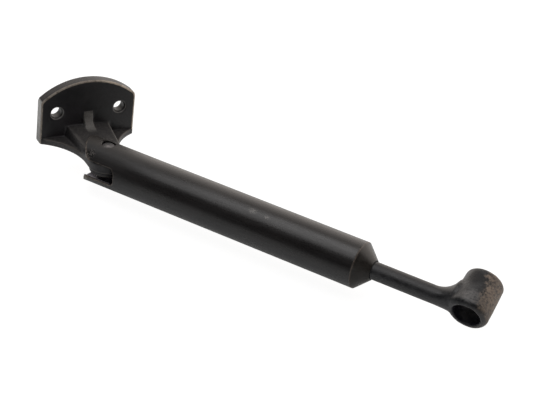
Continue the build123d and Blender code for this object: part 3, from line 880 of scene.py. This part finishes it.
def dark_forging():
    """The rod's blacked steel; the eye is rougher, dusty brown on the side away from the rod, with a painted
    highlight on its top and painted shade at its far top, along its front edge and in its bore.
    """
    s = Surface("dark_forging", FORGING_COLOR, rough=0.34)
    at = forging_places(s)
    dark = dark_mark(s, at)
    dust = dust_mark(s, at)
    # Painted highlight on the eye's top, broken by pores
    lit = s.times(s.span(at.from_patch, *EYE_HIGHLIGHT_RADIUS), s.span(at.pores, *HIGHLIGHT_PORES))

    body = s.mix(s.span(at.blotch, *ROD_BLOTCHES), *ROD_COLORS)
    body = s.lay(body, s.span(at.pores, *ROD_PORES), ROD_PORE_COLOR, share=0.7)
    body = s.lay(body, s.times(at.forged, s.span(at.pores, *EYE_PORES)), EYE_PORE_COLOR)
    body = s.lay(body, lit, EYE_HIGHLIGHT_COLOR)
    # Painted shade at the eye's far top and along its front edge
    body = s.lay(body, dark, EYE_SHADE_COLOR)
    face_color = s.mix(s.span(at.patches, *FACE_BLOTCHES), *EYE_FACE_COLORS)
    body = s.lay(body, at.face, face_color, share=0.75)
    body = s.lay(body, dust, s.mix(s.span(at.depth, *DUST_DEPTH), *DUST_COLORS))
    # Painted shade in the eye's bore
    s.color(s.lay(body, at.hollow, HOLLOW_SHADE_COLOR))

    gloss = s.less(FULL_GLOSS, s.times(at.face, FACE_GLOSS_LOSS))
    s.gloss(s.less(gloss, s.times(dark, DARK_GLOSS_LOSS)))
    sleek = s.plus(s.span(at.blotch, *NOISE_RANGE, *FORGING_ROUGH), s.span(at.along, *ROD_ROUGH))
    s.rough(s.plus(sleek, s.times(dust, DUST_ROUGH)))
    lumpy = s.bump(s.times(at.pores, at.forged), depth=0.30, strength=0.6)
    s.normal(s.bump(at.fine, depth=0.03, strength=0.5, under=lumpy))
    return s.material


# Levels, shades and steps of roughness of the plain materials, and the stretches of their marks

STEEL_BLOTCHES = (0.34, 0.68)
STEEL_SHADES = (0.72, 1.18)
STEEL_ROUGH = (-0.07, 0.08)
MOULDED_BLOTCHES = (0.35, 0.65)
MOULDED_SHADES = (0.8, 1.25)
MOULDED_ROUGH = (-0.06, 0.06)
EVEN_MARKS = (1, 1, 1)
TURNED_MARKS = (1, 0.1, 0.1)

# The pin's colours, the edges of its marks in millimetres in the barrel's frame, and its roughness

PIN_COLOR = (0.13, 0.13, 0.135)
PIN_COLORS = ((0.095, 0.094, 0.098), (0.155, 0.154, 0.159))
PIN_HIGHLIGHT_COLOR = (0.24, 0.235, 0.235)
PIN_SHADE_COLOR = (0.006, 0.006, 0.007)
PIN_RIM = (PIN_RADIUS - 0.6, PIN_RADIUS - 0.25)
PIN_HIGHLIGHT_AT = (0.3, -1.0, 0)
PIN_HIGHLIGHT_RADIUS = (1.3, 0.3)
PIN_ROUGH = (0.39, 0.54)


def blued_pin():
    """The pin's steel, with painted shade at its rim on the far side, where it sinks into the ear, and a
    painted highlight on its end.
    """
    s = Surface("blued_pin", PIN_COLOR, rough=0.46, metallic=1.0)
    where = s.place(BARREL)
    marks = s.noise(where, scale=1.6, detail=4, rough=0.6)
    blotch = s.noise(where, scale=0.3, detail=4, rough=0.6)
    gap_shade = s.times(s.span(s.from_line(BARREL, "Z"), *PIN_RIM), pin_far_side_shade(s))
    painted_highlight = s.span(s.from_line(BARREL, "Z", PIN_HIGHLIGHT_AT), *PIN_HIGHLIGHT_RADIUS)
    face = s.mix(s.span(blotch, *STEEL_BLOTCHES), *PIN_COLORS)
    # A painted highlight on the pin's end, and painted shade at its rim
    s.color(s.lay(s.lay(face, painted_highlight, PIN_HIGHLIGHT_COLOR), gap_shade, PIN_SHADE_COLOR))
    s.rough(s.span(marks, *NOISE_RANGE, *PIN_ROUGH))
    s.normal(s.bump(marks, depth=0.012, strength=0.6))
    return s.material


def shades(base, factors):
    """A darker and a lighter shade of one colour."""
    return [tuple(value * factor for value in base) for factor in factors]


def around(middle, steps):
    return [middle + step for step in steps]


def steel(name, base, rough, stretch):
    """Turned or drawn metal, with fine marks along its stretch."""
    s = Surface(name, base, rough, metallic=1.0)
    marks = s.noise(s.place(BARREL, stretch), scale=3.0, detail=4, rough=0.6)
    blotch = s.noise(s.place(BARREL), scale=0.3, detail=4, rough=0.6)
    s.color(s.mix(s.span(blotch, *STEEL_BLOTCHES), *shades(base, STEEL_SHADES)))
    s.rough(s.span(marks, *NOISE_RANGE, *around(rough, STEEL_ROUGH)))
    s.normal(s.bump(marks, depth=0.012, strength=0.6))
    return s.material


def moulded(name, base, rough):
    """Moulded nylon or rubber, with a fine even grain."""
    s = Surface(name, base, rough)
    where = s.place(BARREL)
    grain = s.noise(where, scale=4.0, detail=3, rough=0.6)
    blotch = s.noise(where, scale=0.5, detail=4, rough=0.6)
    s.color(s.mix(s.span(blotch, *MOULDED_BLOTCHES), *shades(base, MOULDED_SHADES)))
    s.rough(s.span(grain, *NOISE_RANGE, *around(rough, MOULDED_ROUGH)))
    s.normal(s.bump(grain, depth=0.02, strength=0.5))
    return s.material


# Skins: own meshes that take the place of the bracket, the tube and the eye rod, with soft edges

EVEN_STEPS = (0.5, -0.53) * 3
SMOOTH_STEP = 0.5
SHARP_PASSES = 4
SHARP_SHARE = 0.16
LEAST_RADIUS = 0.01
LUMPS_SHIFT = (1, 1.7, 2.3)


def skin(node, name, voxel, passes, convex_share):
    """A closed even mesh of a node, smoothed so that inside corners fill more than outside edges round.

    The mesh's edge attribute says how sharp each point was before.
    """
    piece = bpy.data.objects.new(name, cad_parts[node].data.copy())
    bpy.context.collection.objects.link(piece)
    remesh = piece.modifiers.new("skin", "REMESH")
    remesh.mode = "VOXEL"
    remesh.voxel_size = voxel * MM
    bpy.context.view_layer.update()
    mesh = bpy.data.meshes.new_from_object(piece.evaluated_get(bpy.context.evaluated_depsgraph_get()))
    piece.modifiers.clear()
    piece.data = mesh
    mesh.materials.clear()
    count = len(mesh.vertices)
    points = read_points(mesh, PART)
    ends = np.empty(len(mesh.edges) * 2, np.int32)
    mesh.edges.foreach_get("vertices", ends)
    first, second = ends.reshape(-1, 2).T
    degree = np.bincount(first, minlength=count) + np.bincount(second, minlength=count)

    def spread(values):
        """The mean of each point's neighbours."""
        sums = []
        for column in values.T:
            onward = np.bincount(first, column[second], count)
            sums.append(onward + np.bincount(second, column[first], count))
        return np.stack(sums, 1) / np.maximum(degree, 1)[:, None]

    for step in EVEN_STEPS:
        points += (spread(points) - points) * step
    sharp = np.zeros(count)
    for number in range(passes):
        normals = point_normals(mesh, points)
        move = (spread(points) - points) * SMOOTH_STEP
        outward = (move * normals).sum(1)
        points += move * np.where(outward > 0, 1.0, convex_share)[:, None]
        if number < SHARP_PASSES:
            sharp += np.maximum(-outward, 0)
    edge = spread(sharp[:, None])[:, 0] / (voxel * SHARP_SHARE)
    write_points(mesh, points)
    attribute = mesh.attributes.new("edge", "FLOAT", "POINT")
    attribute.data.foreach_set("value", np.clip(edge, 0, 1).astype(np.float32))
    shade_smooth(mesh)
    return piece


def shade_smooth(mesh):
    mesh.polygons.foreach_set("use_smooth", np.ones(len(mesh.polygons), bool))


def point_normals(mesh, points):
    write_points(mesh, points)
    normals = np.empty(len(mesh.vertices) * 3, np.float32)
    mesh.vertex_normals.foreach_get("vector", normals)
    return normals.reshape(-1, 3).astype(np.float64)


def write_points(mesh, points):
    mesh.vertices.foreach_set("co", (points * MM).astype(np.float32).ravel())
    mesh.update()


def read_points(mesh, home):
    """The mesh's points in millimetres, in the frame of home."""
    points = np.empty(len(mesh.vertices) * 3, np.float32)
    mesh.vertices.foreach_get("co", points)
    points = points.reshape(-1, 3).astype(np.float64) / MM
    back = np.array(home.inverted())
    return points @ back[:3, :3].T + back[:3, 3]


def put_points(mesh, home, points):
    out = np.array(home)
    write_points(mesh, points @ out[:3, :3].T + out[:3, 3])


def snap_radius(points, chosen, radius):
    """Moves the chosen points to one radius about the X axis."""
    size = np.hypot(points[:, 1], points[:, 2])
    share = np.where(chosen, radius / np.maximum(size, LEAST_RADIUS), 1.0)
    points[:, 1] *= share
    points[:, 2] *= share


def lumps(points, scale, depth, seed):
    """A smooth random height at each point, between -depth and depth."""
    shift = Vector([seed * factor for factor in LUMPS_SHIFT])
    return np.array([noise.noise(Vector(p) * scale + shift) for p in points]) * depth


def make_bracket():
    piece = skin("mounting_bracket", "bracket_casting", voxel=0.28, passes=26, convex_share=0.12)
    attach(piece, "bracket")
    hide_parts("mounting_bracket")
    return piece


TUBE_SNAP = 0.09
TUBE_END_BAND = 0.45
TUBE_END_SNAP = 0.5
TUBE_END_FLAT = 0.3


def make_tube():
    """The tube's skin, with its round faces and its far end made true again."""
    piece = skin("barrel_tube", "tube_skin", voxel=0.32, passes=1, convex_share=0.6)
    points = read_points(piece.data, BARREL)
    size = np.hypot(points[:, 1], points[:, 2])
    snap_radius(points, np.abs(size - TUBE_RADIUS) < TUBE_SNAP, TUBE_RADIUS)
    snap_radius(points, np.abs(size - BORE_RADIUS) < TUBE_SNAP, BORE_RADIUS)
    end = points[:, 0] > TUBE_LENGTH - TUBE_END_BAND
    snap_radius(points, end & (size > TUBE_RADIUS - TUBE_END_SNAP), TUBE_RADIUS)
    snap_radius(points, end & (size < BORE_RADIUS + TUBE_END_SNAP), BORE_RADIUS)
    points[:, 0] = np.where(points[:, 0] > TUBE_LENGTH - TUBE_END_FLAT, TUBE_LENGTH, points[:, 0])
    put_points(piece.data, BARREL, points)
    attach(piece, "barrel")
    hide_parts("barrel_tube")
    return piece


ROD_SNAP = 0.3
LUMPS_START = NECK_START + 3
LUMPS_RUN = 8


def make_eye():
    """The rod's skin, true where it is turned and lumpy where it is forged."""
    piece = skin("eye_rod", "eye_forging", voxel=0.32, passes=44, convex_share=0.16)
    mesh = piece.data
    points = read_points(mesh, ROD)
    size = np.hypot(points[:, 1], points[:, 2])
    bar = points[:, 0] < NECK_START - ROD_SNAP
    thin = bar & (points[:, 0] < PISTON_FRONT)
    snap_radius(points, bar & (np.abs(size - ROD_RADIUS) < ROD_SNAP), ROD_RADIUS)
    snap_radius(points, thin & (np.abs(size - ROD_END_RADIUS) < ROD_SNAP), ROD_END_RADIUS)
    put_points(mesh, ROD, points)
    normals = point_normals(mesh, read_points(mesh, PART))
    share = np.clip((points[:, 0] - LUMPS_START) / LUMPS_RUN, 0, 1)
    height = lumps(points, scale=0.16, depth=0.16, seed=3.1)
    height += lumps(points, scale=0.5, depth=0.05, seed=8.4)
    write_points(mesh, read_points(mesh, PART) + normals * (height * share)[:, None])
    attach(piece, "rod")
    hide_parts("eye_rod")
    return piece


# How far the pin's end sinks at each share of its radius, as shares of PIN_SINK

PIN_CROWN = ((0.35, 0.01), (0.6, 0.05), (0.78, 0.13), (0.9, 0.27), (0.97, 0.50), (1.0, 0.95))
PIN_SINK = 0.75
PIN_SIDES = 96


def make_pin():
    """The pin with both ends crowned, so that each end sinks below the ear at its rim."""
    half = [(PIN_RADIUS * share, PIN_END - PIN_SINK * sink) for share, sink in PIN_CROWN]
    rings = half + [(radius, -height) for radius, height in reversed(half)]
    points = [(0, 0, PIN_END)]
    for radius, height in rings:
        for side in range(PIN_SIDES):
            angle = 2 * math.pi * side / PIN_SIDES
            points.append((radius * math.cos(angle), radius * math.sin(angle), height))
    points.append((0, 0, -PIN_END))
    last = len(points) - 1
    base = last - PIN_SIDES
    after = [(side + 1) % PIN_SIDES for side in range(PIN_SIDES)]
    faces = [(0, 1 + side, 1 + after[side]) for side in range(PIN_SIDES)]
    for top in range(1, base, PIN_SIDES):
        low = top + PIN_SIDES
        faces += [(top + side, low + side, low + after[side], top + after[side]) for side in range(PIN_SIDES)]
    faces += [(last, base + after[side], base + side) for side in range(PIN_SIDES)]
    mesh = bpy.data.meshes.new("pin_crowned")
    mesh.from_pydata(points, [], faces)
    shade_smooth(mesh)
    put_points(mesh, BARREL, np.array(points))
    piece = bpy.data.objects.new("pin_crowned", mesh)
    bpy.context.collection.objects.link(piece)
    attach(piece, "barrel")
    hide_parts("pivot_pin")
    return piece


def make_spring():
    """The main spring as its own mesh, carried with the barrel."""
    piece = bpy.data.objects.new("spring_coil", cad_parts["main_spring"].data.copy())
    bpy.context.collection.objects.link(piece)
    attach(piece, "barrel")
    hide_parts("main_spring")
    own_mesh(piece)
    return piece


def dress(thing, material):
    thing.data.materials.clear()
    thing.data.materials.append(material)


def dress_nodes(names, material):
    for name in names:
        dress(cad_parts[name], material)


make_camera()
make_world()
make_floor()
make_softbox()

dress(make_bracket(), black_casting())
dress(make_tube(), black_tube())
dress(make_eye(), dark_forging())
dress_nodes(["nose_cone"], black_nose())
dress(make_pin(), blued_pin())
plain_steel = steel("plain_steel", (0.45, 0.45, 0.46), 0.38, TURNED_MARKS)
spring_steel = steel("spring_steel", (0.30, 0.30, 0.31), 0.34, EVEN_MARKS)
bronze = steel("bronze", (0.50, 0.36, 0.18), 0.42, TURNED_MARKS)
nylon = moulded("black_nylon", (0.060, 0.058, 0.065), 0.45)
rubber = moulded("black_rubber", (0.02, 0.02, 0.02), 0.62)
dress_nodes(["end_plug", "thrust_ring", "piston_head", "piston_washer", "piston_nut"], plain_steel)
dress(make_spring(), spring_steel)
dress_nodes(["plug_snap_ring", "nose_snap_ring"], spring_steel)
dress_nodes(["pivot_bush", "rod_guide"], bronze)
dress_nodes(["upper_pivot_spacer", "lower_pivot_spacer", "piston_wear_ring"], nylon)
dress_nodes(["rod_wiper", "stop_buffer"], rubber)

bpy.context.scene.view_settings.view_transform = "Standard"
